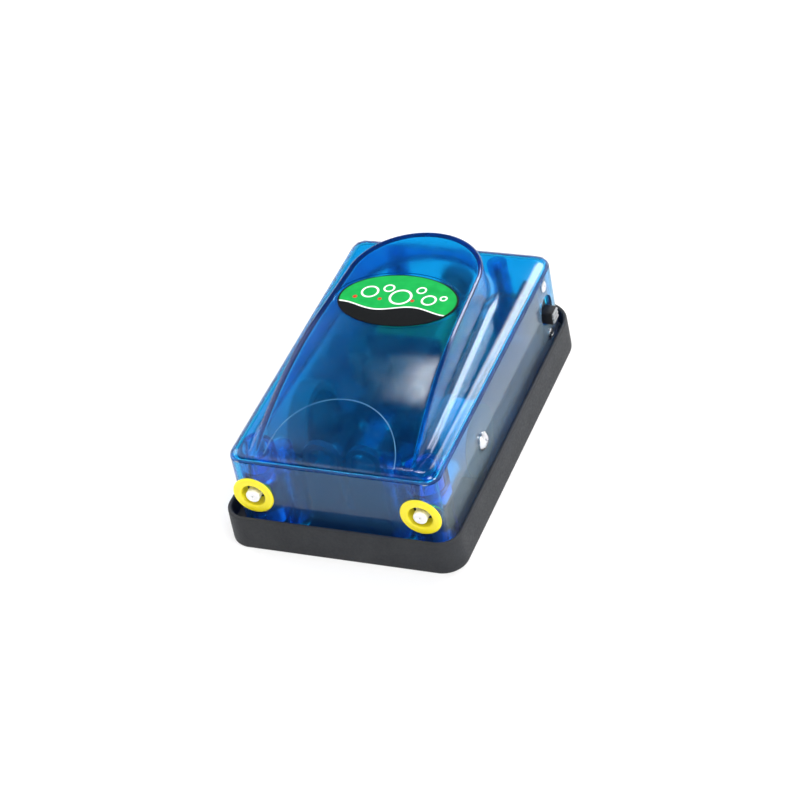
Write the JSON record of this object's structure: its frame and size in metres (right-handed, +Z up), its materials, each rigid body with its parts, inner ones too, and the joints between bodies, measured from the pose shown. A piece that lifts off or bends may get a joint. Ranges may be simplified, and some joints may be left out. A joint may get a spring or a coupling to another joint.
{
  "type": "aquarium air pump",
  "caption": "Diaphragm air pump in a translucent blue case with an arched hood, standing in a rubber tray, with ringed air outlets in front and a slide switch on the side.",
  "frame": {"origin": "underside of the rubber tray, below the middle of the case", "axes": "+Z up, -Y towards the air outlets, +X towards the switch"},
  "size_m": [0.084, 0.1281, 0.0502],
  "materials": {
    "black_rubber": "fine matt grain",
    "clear_blue": "translucent, polished",
    "green_label": "printed film",
    "yellow_plastic": "satin",
    "white_plastic": "satin",
    "milky_silicone": "milky",
    "grey_plastic": "moulded",
    "soft_rubber": "matt",
    "black_plastic": "moulded",
    "steel": "zinc plated",
    "ferrite": "sintered",
    "core_iron": "stacked sheets",
    "copper": "enamelled",
    "yellow_tape": "film tape",
    "red_insulation": "satin",
    "felt": "pressed felt"
  },
  "bodies": {
    "housing": {"rubber_base": "black_rubber", "lower_case": "clear_blue", "case_floor": "clear_blue", "upper_cover": "clear_blue", "label_plate": "green_label", "left_outlet_ring": "yellow_plastic", "right_outlet_ring": "yellow_plastic", "left_outlet_nozzle": "white_plastic", "right_outlet_nozzle": "white_plastic", "left_air_hose": "milky_silicone", "right_air_hose": "milky_silicone", "left_head_body": "grey_plastic", "right_head_body": "grey_plastic", "left_valve_plate": "white_plastic", "right_valve_plate": "white_plastic", "left_diaphragm": "soft_rubber", "right_diaphragm": "soft_rubber", "left_head_clamp": "black_plastic", "right_head_clamp": "black_plastic", "left_pivot_pin": "steel", "right_pivot_pin": "steel", "arm_bracket": "black_plastic", "bracket_screws": "steel", "core_stack": "core_iron", "coil_bobbin": "black_plastic", "coil_winding": "copper", "coil_tape": "yellow_tape", "core_screws": "steel", "switch_body": "black_plastic", "switch_frame": "steel", "switch_terminals": "copper", "switch_screws": "steel", "switch_diode": "black_plastic", "coil_lead": "red_insulation", "side_screws": "steel", "cover_screws": "steel", "cord_grommet": "black_rubber", "felt_filter": "felt", "filter_cap": "black_plastic"},
    "flow_slider": {"switch_knob": "black_plastic"},
    "left_rocker": {"left_arm": "black_plastic", "left_arm_bush": "soft_rubber", "left_magnet": "ferrite", "left_diaphragm_screw": "steel"},
    "right_rocker": {"right_arm": "black_plastic", "right_arm_bush": "soft_rubber", "right_magnet": "ferrite", "right_diaphragm_screw": "steel"},
    "left_inlet_valve": {"left_inlet_flap": "soft_rubber"},
    "right_inlet_valve": {"right_inlet_flap": "soft_rubber"},
    "left_outlet_valve": {"left_outlet_flap": "soft_rubber"},
    "right_outlet_valve": {"right_outlet_flap": "soft_rubber"}
  },
  "joints": [
    {"name": "flow_switch_slide", "type": "slide", "parent": "housing", "child": "flow_slider", "axis": [0, 0, 1], "range_m": [0, 0.0038]},
    {"name": "left_arm_swing", "type": "hinge", "parent": "housing", "child": "left_rocker", "pos_m": [-0.00775, -0.042, 0.0205], "axis": [0, 0, 1], "range_deg": [-2.5, 2.5], "stiffness_Nm_per_rad": 0.1, "deforming": ["left_diaphragm"]},
    {"name": "right_arm_swing", "type": "hinge", "parent": "housing", "child": "right_rocker", "pos_m": [0.00775, -0.042, 0.0205], "axis": [0, 0, 1], "range_deg": [-2.5, 2.5], "stiffness_Nm_per_rad": 0.1, "deforming": ["right_diaphragm"]},
    {"name": "left_inlet_flap_swing", "type": "hinge", "parent": "housing", "child": "left_inlet_valve", "pos_m": [-0.02305, -0.0153, 0.0234], "axis": [0, -1, 0], "range_deg": [0, 20]},
    {"name": "right_inlet_flap_swing", "type": "hinge", "parent": "housing", "child": "right_inlet_valve", "pos_m": [0.02305, -0.0153, 0.0234], "axis": [0, 1, 0], "range_deg": [0, 20]},
    {"name": "left_outlet_flap_swing", "type": "hinge", "parent": "housing", "child": "left_outlet_valve", "pos_m": [-0.02655, -0.0273, 0.0234], "axis": [0, 1, 0], "range_deg": [0, 20]},
    {"name": "right_outlet_flap_swing", "type": "hinge", "parent": "housing", "child": "right_outlet_valve", "pos_m": [0.02655, -0.0273, 0.0234], "axis": [0, -1, 0], "range_deg": [0, 20]}
  ],
  "couplings": [
    {"joint": "right_arm_swing", "follows": "left_arm_swing", "ratio": -1}
  ]
}
